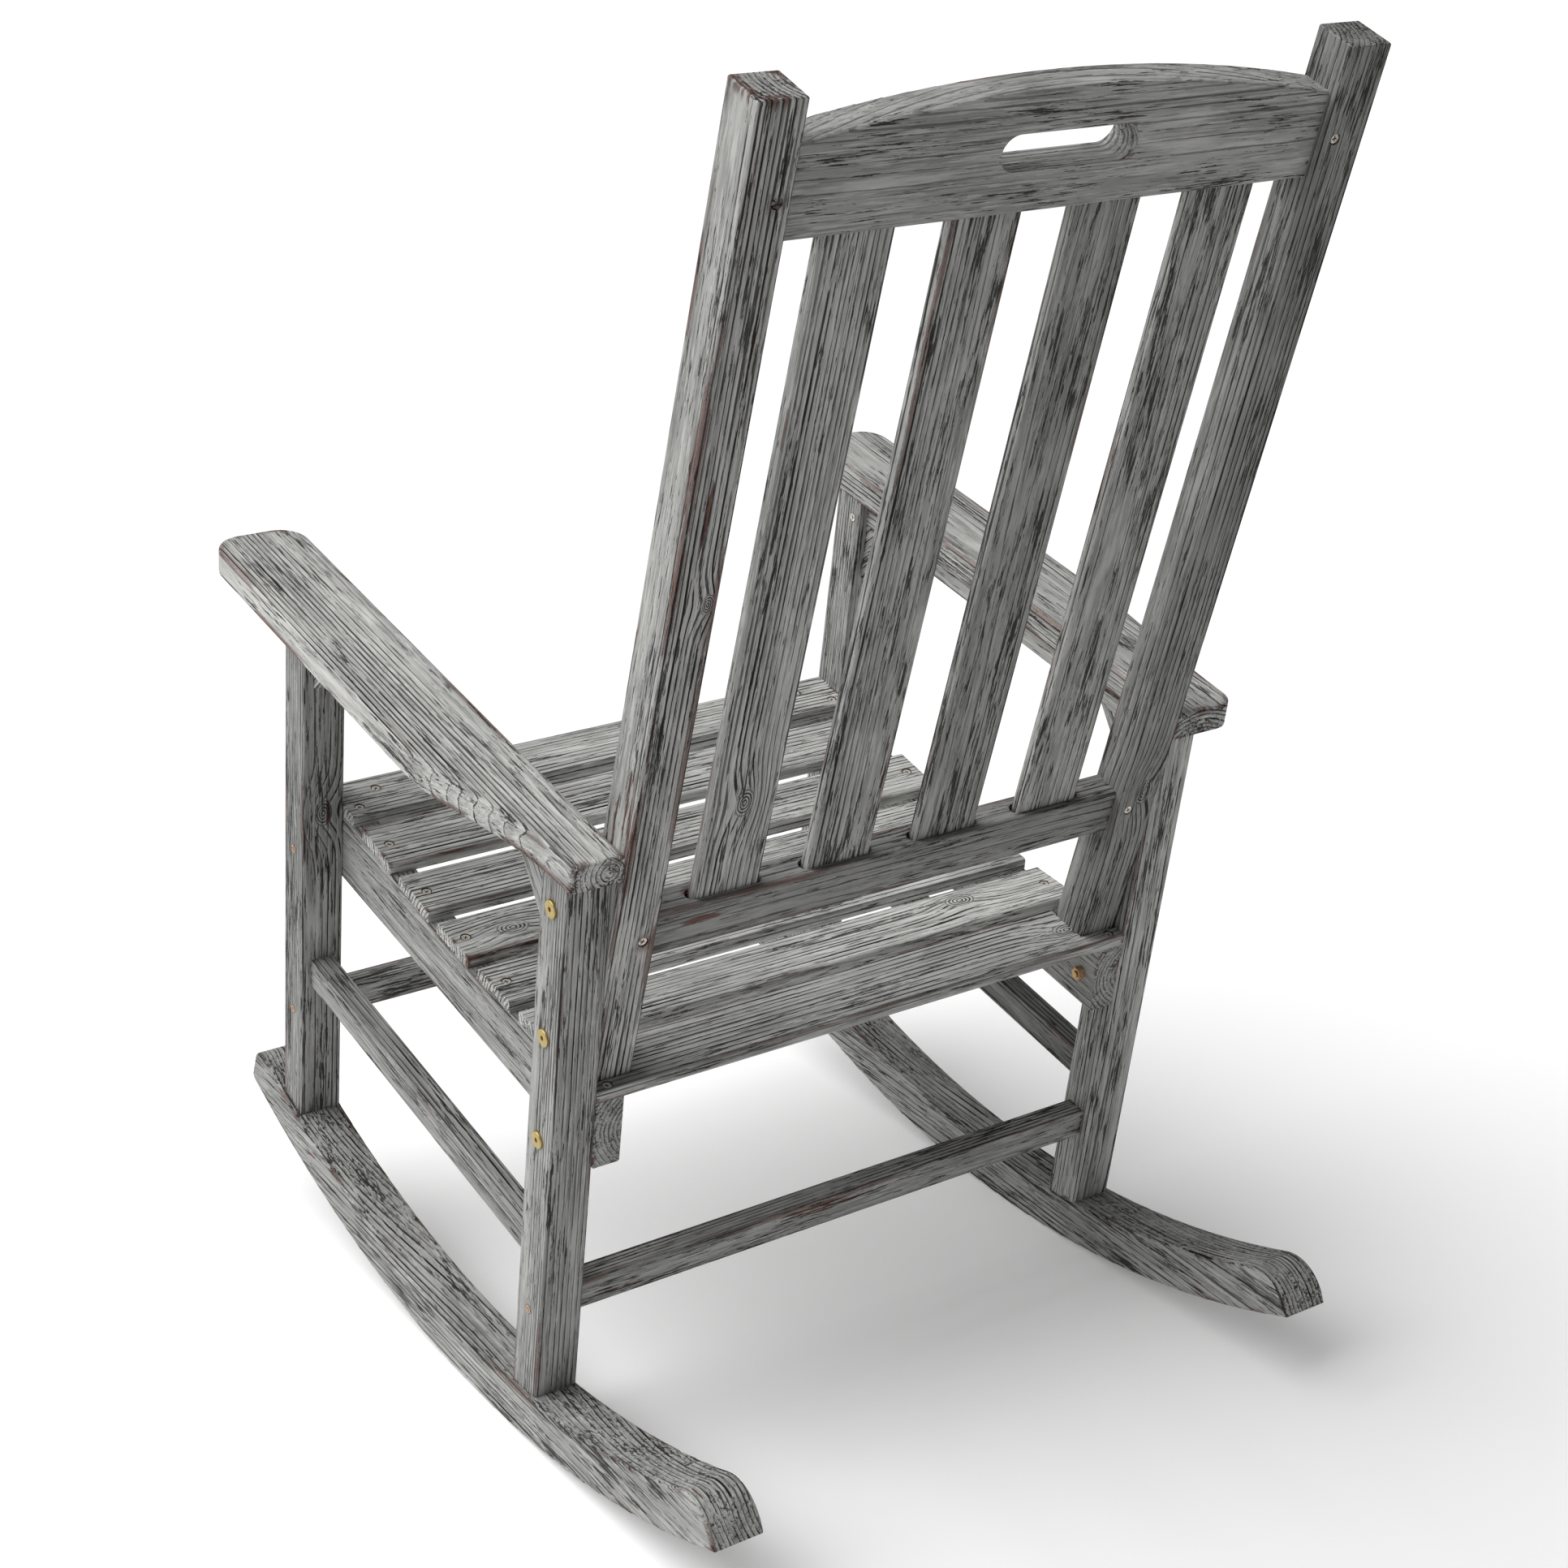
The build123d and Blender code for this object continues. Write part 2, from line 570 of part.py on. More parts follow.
for name, leg_face, away in (
    ("front_bracket", front_leg_back, 1),
    ("rear_bracket", rear_leg_y, -1),
):
    with BuildPart() as bracket:
        with BuildSketch(side(leg_mid - BRACKET_T / 2)):
            with BuildLine():
                Polyline(
                    (leg_face, arm_rail_z),
                    (leg_face + away * BRACKET_L, arm_rail_z),
                    (leg_face, arm_rail_z - BRACKET_H),
                    close=True,
                )
            make_face()
        extrude(amount=BRACKET_T)
        fillet(edges().sort_by(SortBy.LENGTH)[-2:], EASE)
    save_pair(bracket, name)

# ---- bolts: flat heads with a hexagon socket, and a nut inside each side rail ----------------

with BuildPart() as leg_bolts:
    with BuildSketch(side(leg_out)):
        with Locations(*rear_bolts):
            Circle(BOLT_HEAD_R)
    extrude(amount=BOLT_HEAD_T)
    fillet(edges().filter_by(GeomType.CIRCLE).group_by(Axis.X)[-1], BOLT_HEAD_T / 3)
    with BuildSketch(side(leg_out + BOLT_HEAD_T)):
        with Locations(*rear_bolts):
            RegularPolygon(BOLT_SOCKET / 2, 6, major_radius=False)
    extrude(amount=-BOLT_SOCKET_DEPTH, mode=Mode.SUBTRACT)
    with BuildSketch(side(leg_out)):
        with Locations(*rear_bolts):
            Circle(BOLT_R)
    extrude(amount=-BOLT_L)
save_pair(leg_bolts, "leg_bolts")

with BuildPart() as rail_nut:
    with BuildSketch(side(rail_in)):
        with Locations(rail_bolt):
            RegularPolygon(NUT_FLATS / 2, 6, major_radius=False)
            Circle(BOLT_R + BORE_FIT, mode=Mode.SUBTRACT)
    extrude(amount=-NUT_T)
save_pair(rail_nut, "rail_nut")
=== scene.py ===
import bpy
import numpy as np
from mathutils import Matrix, Vector


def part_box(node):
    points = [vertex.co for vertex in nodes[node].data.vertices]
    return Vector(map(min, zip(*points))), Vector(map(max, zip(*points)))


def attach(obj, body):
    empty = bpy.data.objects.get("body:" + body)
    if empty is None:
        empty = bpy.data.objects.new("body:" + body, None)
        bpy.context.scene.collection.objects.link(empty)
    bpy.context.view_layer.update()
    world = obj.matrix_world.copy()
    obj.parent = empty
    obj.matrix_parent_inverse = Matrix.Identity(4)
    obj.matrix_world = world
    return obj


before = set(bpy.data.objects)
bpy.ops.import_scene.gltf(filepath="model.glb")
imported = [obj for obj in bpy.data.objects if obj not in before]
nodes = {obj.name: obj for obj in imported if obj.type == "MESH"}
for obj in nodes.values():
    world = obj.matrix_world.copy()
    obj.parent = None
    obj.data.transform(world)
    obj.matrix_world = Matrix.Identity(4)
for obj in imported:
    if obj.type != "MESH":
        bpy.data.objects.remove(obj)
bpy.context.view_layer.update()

# ---- camera, floor and light ----------------------------------------------------------------
# The chair stands on a pale floor that darkens behind it and glows faintly, a painted light.
# It is seen from behind and its sitter's left.
# A wide soft lamp shines down from the sitter's front left, and a weak one fills from behind.

scene = bpy.context.scene

eye = bpy.data.cameras.new("eye")
eye.sensor_width = 36.0
eye.lens = 65.45
eye.shift_x = -0.1032
eye.shift_y = 0.0280
eye.clip_end = 100.0
camera = bpy.data.objects.new("eye", eye)
camera.location = (1.20633, 1.96460, 1.38043)
camera.rotation_euler = np.radians((68.004, -0.158, 144.499))
scene.collection.objects.link(camera)
scene.camera = camera
scene.view_settings.view_transform = "Standard"

floor_half = 30.0
floor_mesh = bpy.data.meshes.new("floor")
corners = [(-floor_half, -floor_half, 0), (floor_half, -floor_half, 0),
           (floor_half, floor_half, 0), (-floor_half, floor_half, 0)]
floor_mesh.from_pydata(corners, [], [(0, 1, 2, 3)])
floor_paint = bpy.data.materials.new("floor_paint")
floor_paint.use_nodes = True
floor_shader = floor_paint.node_tree.nodes["Principled BSDF"]
floor_place = floor_paint.node_tree.nodes.new("ShaderNodeTexCoord")
floor_split = floor_paint.node_tree.nodes.new("ShaderNodeSeparateXYZ")
floor_tone = floor_paint.node_tree.nodes.new("ShaderNodeMapRange")
floor_tone.interpolation_type = "SMOOTHSTEP"
# The floor goes from pale to grey between 1.1 and 1.9 m behind the chair, and so throws less
# light on the chair's back. The grey shows in views from the front.
for socket, value in (("From Min", 1.1), ("From Max", 1.9), ("To Min", 0.87), ("To Max", 0.20)):
    floor_tone.inputs[socket].default_value = value
floor_paint.node_tree.links.new(floor_place.outputs["Object"], floor_split.inputs[0])
floor_paint.node_tree.links.new(floor_split.outputs["Y"], floor_tone.inputs["Value"])
floor_paint.node_tree.links.new(floor_tone.outputs[0], floor_shader.inputs["Base Color"])
# Painted light: the floor glows faintly though it is no lamp, which lifts the chair's shadow on it and
# throws a little light on the chair.
floor_shader.inputs["Emission Color"].default_value = (1, 1, 1, 1)
floor_shader.inputs["Emission Strength"].default_value = 0.15
floor_shader.inputs["Roughness"].default_value = 0.9
floor_mesh.materials.append(floor_paint)
floor = bpy.data.objects.new("floor", floor_mesh)
scene.collection.objects.link(floor)

for name, aim, strength, spread in (
    ("key_lamp", (-0.62, 0.35, -1.0), 3.3, 64.0),
    ("fill_lamp", (-0.30, -1.0, -0.55), 0.08, 80.0),
):
    lamp = bpy.data.lights.new(name, "SUN")
    lamp.energy = strength
    lamp.angle = np.radians(spread)
    lamp_object = bpy.data.objects.new(name, lamp)
    lamp_object.rotation_euler = Vector(aim).to_track_quat("-Z", "Y").to_euler()
    scene.collection.objects.link(lamp_object)

sky = bpy.data.worlds.new("sky")
sky.use_nodes = True
sky.node_tree.nodes["Background"].inputs["Color"].default_value = (1, 1, 1, 1)
sky.node_tree.nodes["Background"].inputs["Strength"].default_value = 0.21
scene.world = sky

# ---- rockers --------------------------------------------------------------------------------
# Two arcs sawn from straight boards of wire-brushed fir, so that the grain runs out at the tails.
# They carry the finish of all the timber: grey paint over red-brown, worn dark along the grain.


class Sheet:
    """A node tree being drawn. Each method adds one node and returns the socket it puts out."""

    def __init__(self, tree):
        self.tree = tree

    def add(self, kind, settings, sockets, out=0):
        """One node: its settings by name, and its inputs by name or number, as values or links."""
        node = self.tree.nodes.new("ShaderNode" + kind)
        for key, value in settings.items():
            setattr(node, key, value)
        for key, value in sockets.items():
            if isinstance(value, bpy.types.NodeSocket):
                self.tree.links.new(value, node.inputs[key])
            else:
                node.inputs[key].default_value = value
        return node.outputs[out]

    def math(self, operation, *values):
        return self.add("Math", {"operation": operation}, dict(enumerate(values)))

    def vector(self, operation, a, b=(0, 0, 0), out=0):
        return self.add("VectorMath", {"operation": operation}, {0: a, 1: b}, out)

    def scaled(self, a, scale):
        return self.add("VectorMath", {"operation": "SCALE"}, {0: a, "Scale": scale})

    def step(self, value, low, high):
        """0 below low and 1 above high, with a soft rise between them."""
        sockets = {"Value": value, "From Min": low, "From Max": high}
        return self.add("MapRange", {"interpolation_type": "SMOOTHSTEP"}, sockets)

    def noise(self, vector, stretch, detail=2.0, rough=0.5, place=(0, 0, 0)):
        """Cloud noise from 0 to 1, with stretch cells a metre along each axis."""
        cells = self.vector("MULTIPLY", self.vector("ADD", vector, place), stretch)
        return self.add("TexNoise", {}, {
            "Vector": cells, "Scale": 1.0, "Detail": detail, "Roughness": rough,
        })

    def mix(self, share, a, b):
        """Colour a turning into colour b."""
        return self.add("Mix", {"data_type": "RGBA"}, {0: share, 6: a, 7: b}, 2)


def group(name, inputs, outputs):
    """An empty node group with named sockets. Returns it, its sheet and its two ends."""
    tree = bpy.data.node_groups.new(name, "ShaderNodeTree")
    for socket, kind in inputs:
        tree.interface.new_socket(socket, in_out="INPUT", socket_type="NodeSocket" + kind)
    for socket, kind in outputs:
        tree.interface.new_socket(socket, in_out="OUTPUT", socket_type="NodeSocket" + kind)
    start = tree.nodes.new("NodeGroupInput")
    end = tree.nodes.new("NodeGroupOutput")
    return tree, Sheet(tree), start.outputs, end.inputs


def draw_growth_rings():
    """Growth rings round a wandering pith, cut by whatever face shows them.

    The ring count is the distance from the pith line over the ring width, with good and poor years
    among them. A brushed groove lies in the last part of each ring, and takes less of it where the
    face lies flat to the rings. A knot pushes the rings aside and has small rings of its own.
    """
    tree, sheet, start, end = group(
        "growth_rings",
        (("Vector", "Vector"), ("Normal", "Vector"), ("Pith", "Vector"), ("Ring Width", "Float"),
         ("Wander", "Float"), ("Knot", "Vector"), ("Knot Size", "Float")),
        (("Groove", "Float"), ("Late Wood", "Float"), ("Knot", "Float")),
    )
    place = start["Vector"]
    sway = sheet.vector("SUBTRACT", sheet.add("TexNoise", {}, {
        "Vector": sheet.vector("MULTIPLY", place, (2.0, 12.0, 12.0)), "Scale": 1.0, "Detail": 1.5,
    }, 1), (0.5, 0.5, 0.5))
    sway = sheet.scaled(sway, start["Wander"])
    from_pith = sheet.vector("MULTIPLY", sheet.vector("SUBTRACT", place, start["Pith"]), (0, 1, 1))
    radius = sheet.vector("LENGTH", sheet.vector("ADD", from_pith, sway), out=1)

    to_knot = sheet.vector("MULTIPLY", sheet.vector("SUBTRACT", place, start["Knot"]), (0.62, 1, 0.25))
    knot_gap = sheet.vector("LENGTH", to_knot, out=1)
    knot_share = sheet.math("DIVIDE", knot_gap, start["Knot Size"])
    push = sheet.math("EXPONENT", sheet.math("MULTIPLY", sheet.math("POWER", knot_share, 2.0), -0.22))
    push = sheet.math("MULTIPLY", push, sheet.math("MULTIPLY", start["Knot Size"], 1.1))
    radius = sheet.math("ADD", radius, push)

    slant = sheet.vector("DOT_PRODUCT", sheet.vector("NORMALIZE", from_pith), start["Normal"], out=1)
    slant = sheet.math("SQRT", sheet.math("SUBTRACT", 1.02, sheet.math("MULTIPLY", slant, slant)))
    tremble = sheet.noise(place, (9.0, 150.0, 150.0), 5.0, 0.7)
    count = sheet.math("DIVIDE", radius, start["Ring Width"])
    count = sheet.math("ADD", count, sheet.math("MULTIPLY", tremble, 0.36))
    age = sheet.add("CombineXYZ", {}, {0: radius})
    seasons = sheet.noise(age, (95.0, 1, 1), 1.0, place=(0.0, 3.3, 7.7))
    count = sheet.math("ADD", count, sheet.math("MULTIPLY", seasons, 1.4))
    ring = sheet.math("FRACT", count)
    number = sheet.add("CombineXYZ", {}, {0: sheet.math("FLOOR", count)})
    uneven = sheet.noise(number, (3.7, 1, 1), 0.0)
    opened = sheet.step(sheet.noise(place, (5.0, 26.0, 26.0), 3.0, 0.6, (8.8, 1.1, 5.2)), 0.36, 0.60)
    share = sheet.math("SUBTRACT", 0.60, sheet.math("MULTIPLY", uneven, 0.44))
    share = sheet.math("MULTIPLY", share, sheet.math("ADD", 0.66, sheet.math("MULTIPLY", opened, 0.42)))
    begin = sheet.math("SUBTRACT", 1.0, sheet.math("MULTIPLY", share, slant))
    rise = sheet.add("MapRange", {"interpolation_type": "SMOOTHSTEP"}, {
        "Value": ring, "From Min": begin, "From Max": sheet.math("ADD", begin, 0.05),
    })
    fall = sheet.step(ring, 0.96, 1.0)
    force = sheet.step(sheet.noise(number, (7.3, 1, 1), 0.0, place=(0.4, 5, 5)), 0.36, 0.62)
    force = sheet.math("ADD", 0.62, sheet.math("MULTIPLY", force, 0.38))
    groove = sheet.math("MULTIPLY", rise, sheet.math("SUBTRACT", 1.0, fall))
    groove = sheet.math("MULTIPLY", groove, force)
    brushed = sheet.math("ADD", 0.72, sheet.math("MULTIPLY", opened, 0.28))
    groove = sheet.math("MULTIPLY", groove, brushed)

    in_knot = sheet.math("SUBTRACT", 1.0, sheet.step(knot_share, 0.75, 1.1))
    knot_rings = sheet.step(sheet.math("FRACT", sheet.math("MULTIPLY", knot_share, 4.3)), 0.5, 0.8)
    knot_rings = sheet.math("MULTIPLY", knot_rings, in_knot)
    groove = sheet.math("MULTIPLY", groove, sheet.math("SUBTRACT", 1.0, in_knot))
    tree.links.new(sheet.math("MAXIMUM", groove, knot_rings), end["Groove"])
    tree.links.new(ring, end["Late Wood"])
    tree.links.new(in_knot, end["Knot"])
    return tree


def draw_worn_edges():
    """1 on sharp edges and 0 on flats: 1 minus the product of the rounded normal and the true one,
    stretched so that a slight turn already counts."""
    tree, sheet, start, end = group("worn_edges", (("Reach", "Float"),), (("Edge", "Float"),))
    rounded = sheet.add("Bevel", {"samples": 6}, {"Radius": start["Reach"]})
    true = sheet.add("NewGeometry", {}, {}, "Normal")
    turn = sheet.math("SUBTRACT", 1.0, sheet.vector("DOT_PRODUCT", rounded, true, out=1))
    tree.links.new(sheet.step(turn, 0.001, 0.03), end["Edge"])
    return tree


def draw_worn_paint():
    """Grey paint on brushed wood.

    It clouds from thin to full grey, with dark fibres and pale flecks along the grain and a painted
    highlight on the lip past each groove, and is chalky where it is thick. The grooves are painted
    near black, and so are strokes of dirt that crowd together where the patches noise is under
    Weather. Where the chip noise, raised by the edge, the knot and Bare, passes a limit, the paint is
    off, and the red-brown primer shows inside a dark rim, which is painted shadow along the paint's
    broken edge. Shade is partly the paint's own tone and partly painted light and shade.
    """
    tree, sheet, start, end = group(
        "worn_paint",
        (("Vector", "Vector"), ("Groove", "Float"), ("Late Wood", "Float"), ("Knot", "Float"),
         ("Edge", "Float"), ("Groove Contrast", "Float"), ("Weather", "Float"), ("Bare", "Float"),
         ("Edge Wear", "Float"), ("Shade", "Float")),
        (("Color", "Color"), ("Roughness", "Float"), ("Height", "Float")),
    )
    thin_grey, full_grey = (0.265, 0.268, 0.258, 1), (0.385, 0.386, 0.372, 1)
    dark_fibre, pale_fleck = (0.110, 0.108, 0.102, 1), (0.66, 0.65, 0.63, 1)
    # The lip colour is a painted highlight beside the grooves. The chalk is the paint's own.
    groove_lip_highlight, chalk_white = (0.60, 0.59, 0.57, 1), (0.560, 0.555, 0.535, 1)
    primer_brown, primer_red = (0.065, 0.026, 0.019, 1), (0.140, 0.060, 0.043, 1)
    dirt_and_shadow_black = (0.012, 0.011, 0.010, 1)
    place = start["Vector"]
    clouds = sheet.noise(place, (7.0, 45.0, 45.0), 4.0, 0.6, (3.1, 0.7, 1.9))
    patches = sheet.noise(place, (9.0, 60.0, 60.0), 4.0, 0.6, (1.5, 8.2, 6.4))
    fibres = sheet.noise(place, (14.0, 540.0, 540.0), 4.0, 0.7, (0.3, 5.1, 2.2))
    flecks = sheet.noise(place, (20.0, 430.0, 430.0), 4.0, 0.7, (6.1, 3.3, 0.4))
    strokes = sheet.noise(place, (30.0, 540.0, 540.0), 4.0, 0.7, (7.7, 1.3, 4.5))

    paint = sheet.mix(sheet.step(clouds, 0.36, 0.64), thin_grey, full_grey)
    paint = sheet.mix(sheet.math("MULTIPLY", sheet.step(fibres, 0.52, 0.57), 0.50), paint, dark_fibre)
    paint = sheet.mix(sheet.math("MULTIPLY", sheet.step(flecks, 0.54, 0.59), 0.38), paint, pale_fleck)
    # Painted highlight: the paint is lighter just past each groove, where its raised lip would catch
    # the light.
    lip_highlight = sheet.math("MULTIPLY", start["Groove Contrast"], sheet.step(start["Late Wood"], 0.45, 0.0))
    paint = sheet.mix(sheet.math("MULTIPLY", lip_highlight, 0.30), paint, groove_lip_highlight)
    chalk = sheet.math("MULTIPLY", sheet.step(patches, 0.58, 0.70), 0.55)
    paint = sheet.mix(chalk, paint, chalk_white)
    # Shade scales the paint per piece: partly its own tone, partly painted light and shade for how lit
    # the piece is.
    paint = sheet.scaled(paint, start["Shade"])

    spread = sheet.math("SUBTRACT", start["Weather"], patches)
    stroke = sheet.math("ADD", strokes, sheet.math("MULTIPLY", spread, 0.6))
    stroke = sheet.step(stroke, 0.550, 0.568)

    breaks = sheet.step(sheet.noise(place, (14.0, 220.0, 220.0), 5.0, 0.7, (2.0, 2.0, 9.0)), 0.42, 0.47)
    groove = sheet.math("MULTIPLY", start["Groove"], breaks)
    groove = sheet.math("MULTIPLY", groove, start["Groove Contrast"])
    # The dark strokes are dirt. The grooves are painted near black as well.
    dirt_and_shadow = sheet.math("MAXIMUM", sheet.math("MULTIPLY", stroke, 0.9), groove)

    chips = sheet.noise(place, (6.0, 80.0, 80.0), 6.0, 0.64, (4.0, 6.6, 0.8))
    chipped = sheet.math("ADD", chips, sheet.math("MULTIPLY", start["Edge"], start["Edge Wear"]))
    chipped = sheet.math("ADD", chipped, sheet.math("MULTIPLY", start["Knot"], 0.05))
    chipped = sheet.math("ADD", chipped, start["Bare"])
    bare = sheet.step(chipped, 0.750, 0.758)
    # The rim, a dark ring just outside each chip, is painted shadow along the paint's broken edge.
    rim = sheet.math("SUBTRACT", sheet.step(chipped, 0.735, 0.750), bare)
    primer = sheet.mix(sheet.step(fibres, 0.38, 0.6), primer_brown, primer_red)

    dirt_and_shadow = sheet.math("MAXIMUM", dirt_and_shadow, sheet.math("MULTIPLY", rim, 0.8))
    colour = sheet.mix(bare, paint, primer)
    colour = sheet.mix(dirt_and_shadow, colour, dirt_and_shadow_black)
    tree.links.new(colour, end["Color"])
    rough = sheet.math("ADD", 0.62, sheet.math("MULTIPLY", dirt_and_shadow, 0.25))
    tree.links.new(rough, end["Roughness"])
    height = sheet.math("SUBTRACT", 1.0, sheet.math("MULTIPLY", groove, 0.9))
    height = sheet.math("SUBTRACT", height, sheet.math("MULTIPLY", bare, 0.30))
    height = sheet.math("SUBTRACT", height, sheet.math("MULTIPLY", stroke, 0.35))
    height = sheet.math("ADD", height, sheet.math("MULTIPLY", fibres, 0.30))
    tree.links.new(height, end["Height"])
    return tree


growth_rings = draw_growth_rings()
worn_edges = draw_worn_edges()
worn_paint = draw_worn_paint()

lean = np.radians(11.8)      # the chair leans back at rest
sole_r = 1.074               # radius of the rockers' soles
middle_y = -0.029548         # the sole line lies this far from the box's middle
chair_turn = np.array([[1, 0, 0], [0, np.cos(lean), np.sin(lean)], [0, -np.sin(lean), np.cos(lean)]])
chair_origin = np.array([0, -middle_y - sole_r * np.sin(lean), sole_r * (1 - np.cos(lean))])


def chair_point(x, y, z):
    """A point given in the chair's own upright axes, in the room's axes."""
    return chair_origin + chair_turn @ np.array([x, y, z])


def chair_way(angle):
    """A fore-and-aft direction, raised angle degrees from straight back in the chair's own axes."""
    return chair_turn @ np.array([0, np.cos(np.radians(angle)), np.sin(np.radians(angle))])


across = np.array([1.0, 0, 0])
random = np.random.RandomState(7)


# shade is set per piece. It is partly the paint's own tone and partly painted light and shade: higher
# for lit pieces such as the left arm and the seat slats, lower for shaded ones.
def timber(name, along, flat, pith=None, ring=None, wander=0.008, knot=None, knot_size=0.009,
           groove_contrast=1.0, weather=0.40, bare=0.03, wear=0.13, shade=1.05, reach=0.007):
    """Paints one wooden node. Its grain runs along one direction and flat is its wide face's normal.

    Object coordinates are turned to (along, across, out) from the piece's middle, and shifted by a
    random length, so that no two pieces are cut from the same wood. pith is the pith's place as
    (across, out), ring the width of a growth ring, and knot a knot's place as (along, across, out).
    """
    piece = nodes[name]
    low, high = (np.array(c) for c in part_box(name))
    middle = (low + high) / 2
    along = np.array(along) / np.linalg.norm(along)
    wide = np.cross(flat, along)
    wide = wide / np.linalg.norm(wide)
    turn = np.stack([along, wide, np.cross(along, wide)])
    drawn = random.rand(4)
    if pith is None:
        pith = (0.05 * (drawn[1] - 0.5), -0.015 - 0.05 * drawn[2])
    if ring is None:
        ring = 0.0036 + 0.0010 * drawn[3]
    offset = np.array([9.0 * drawn[0], 10.0 * drawn[1], 10.0 * drawn[2]])
    pith_at = offset + np.array([0, *pith])
    no_knot = (0, 1.0, 1.0)      # a metre off, out of the piece
    knot_at = offset + np.array(knot if knot else no_knot)
    skin = bpy.data.materials.new("timber_" + name)
    skin.use_nodes = True
    tree = skin.node_tree
    shader = tree.nodes["Principled BSDF"]
    sheet = Sheet(tree)
    place = sheet.add("Mapping", {"vector_type": "POINT"}, {
        "Vector": sheet.add("TexCoord", {}, {}, "Object"),
        "Rotation": Matrix(turn).to_euler(),
        "Location": offset - turn @ middle,
    })
    facing = sheet.add("Mapping", {"vector_type": "VECTOR"}, {
        "Vector": sheet.add("TexCoord", {}, {}, "Normal"), "Rotation": Matrix(turn).to_euler(),
    })
    rings = sheet.add("Group", {"node_tree": growth_rings}, {
        "Vector": place, "Normal": facing, "Pith": pith_at, "Ring Width": ring, "Wander": wander,
        "Knot": knot_at, "Knot Size": knot_size,
    }).node
    edge = sheet.add("Group", {"node_tree": worn_edges}, {"Reach": reach})
    paint = sheet.add("Group", {"node_tree": worn_paint}, {
        "Vector": place, "Groove": rings.outputs["Groove"], "Late Wood": rings.outputs["Late Wood"],
        "Knot": rings.outputs["Knot"], "Edge": edge, "Groove Contrast": groove_contrast, "Weather": weather,
        "Bare": bare, "Edge Wear": wear, "Shade": shade,
    }).node
    groove_depth = 0.0009
    bump = sheet.add("Bump", {}, {"Distance": groove_depth, "Height": paint.outputs["Height"]})
    tree.links.new(paint.outputs["Color"], shader.inputs["Base Color"])
    tree.links.new(paint.outputs["Roughness"], shader.inputs["Roughness"])
    tree.links.new(bump, shader.inputs["Normal"])
    shader.inputs["Specular IOR Level"].default_value = 0.25
    piece.data.materials.clear()
    piece.data.materials.append(skin)


chord = chair_way(9.0)
for name in ("rocker_left", "rocker_right"):
    timber(name, chord, across, pith=(0.035, -0.06), ring=0.0044, wander=0.010, weather=0.45,
           bare=0.06, shade=0.90)

# ---- legs -----------------------------------------------------------------------------------
# Four square posts, brushed hard so that the grooves stand open on every face.
# Their feet are let into the rockers, and their heads are tenoned into the arms.

upright = chair_way(90.0)
backward = chair_way(0.0)
timber("rear_leg_left", upright, backward, pith=(0.030, -0.012), ring=0.0034, wander=0.004,
       weather=0.42, bare=0.05, shade=0.9)
timber("rear_leg_right", upright, backward, pith=(-0.03, -0.05), ring=0.0038, wander=0.006,
       weather=0.43, shade=1.06)
timber("front_leg_left", upright, backward, pith=(0.030, -0.03), ring=0.0038, knot=(0.06, 0, 0.019),
       weather=0.44, bare=0.05, shade=0.78)
timber("front_leg_right", upright, backward, ring=0.0038, weather=0.43, bare=0.05, shade=0.92)

# ---- stretchers -----------------------------------------------------------------------------
# Light rails tenoned between the legs, two along the sides and two across.
# They are cut from the edges of boards, so their grain is close and straight.

timber("side_stretcher_left", backward, across, ring=0.0042, weather=0.42, shade=0.74)
# The right stretcher's lower shade is painted shade as well as the paint's tone.
timber("side_stretcher_right", backward, across, ring=0.0042, weather=0.42, shade=0.60)
for name in ("front_stretcher", "rear_stretcher"):
    timber(name, across, backward, ring=0.0038, weather=0.44, bare=0.12, shade=0.9)

# ---- seat -----------------------------------------------------------------------------------
# Dished side rails, a front rail between them, and seven slats screwed down on the rails.
# The slats are flat-sawn boards with wide open grain.

for name in ("seat_side_rail_left", "seat_side_rail_right"):
    timber(name, backward, across, pith=(0.0, -0.035), ring=0.0040, wander=0.012, groove_contrast=0.75,
           bare=0.05, shade=0.88)
timber("seat_front_rail", across, backward)
slat_knots = {4: (0.21, 0.004, 0.0055), 6: (-0.165, -0.010, 0.0055), 7: (-0.222, 0.003, 0.0055)}
# The last slat's lower shade is painted shade for the part of it that lies in shadow.
for number in range(1, 8):
    timber(f"seat_slat_{number}", across, upright, pith=(0.055 if number % 2 else -0.065, -0.02),
           ring=0.0046, knot=slat_knots.get(number), knot_size=0.010, bare=0.06,
           shade=0.98 if number == 7 else 1.30, reach=0.006)

# ---- back -----------------------------------------------------------------------------------
# Raked posts bolted to the rear legs, an arched crest with a hand-hold, and a lower rail.
# Four slats are housed in the crest and the lower rail.

raked = chair_way(82.0)
rearward = chair_way(-8.0)
timber("back_post_left", raked, rearward, pith=(-0.05, -0.004), ring=0.0040, wander=0.003,
       knot=(0.043, -0.011, 0.019), knot_size=0.006, weather=0.42, bare=0.11, wear=0.12,
       shade=1.02, reach=0.014)
# The right post's low shade is painted shade, as it gets less light than the left one, with some of the
# paint's own tone.
timber("back_post_right", raked, rearward, pith=(0.05, -0.02), ring=0.0042, wander=0.004,
       knot=(-0.255, -0.003, 0.019), weather=0.44, shade=0.60)
timber("crest_rail", across, rearward, pith=(0.03, -0.05), ring=0.0046, groove_contrast=0.60, weather=0.40,
       shade=0.92)
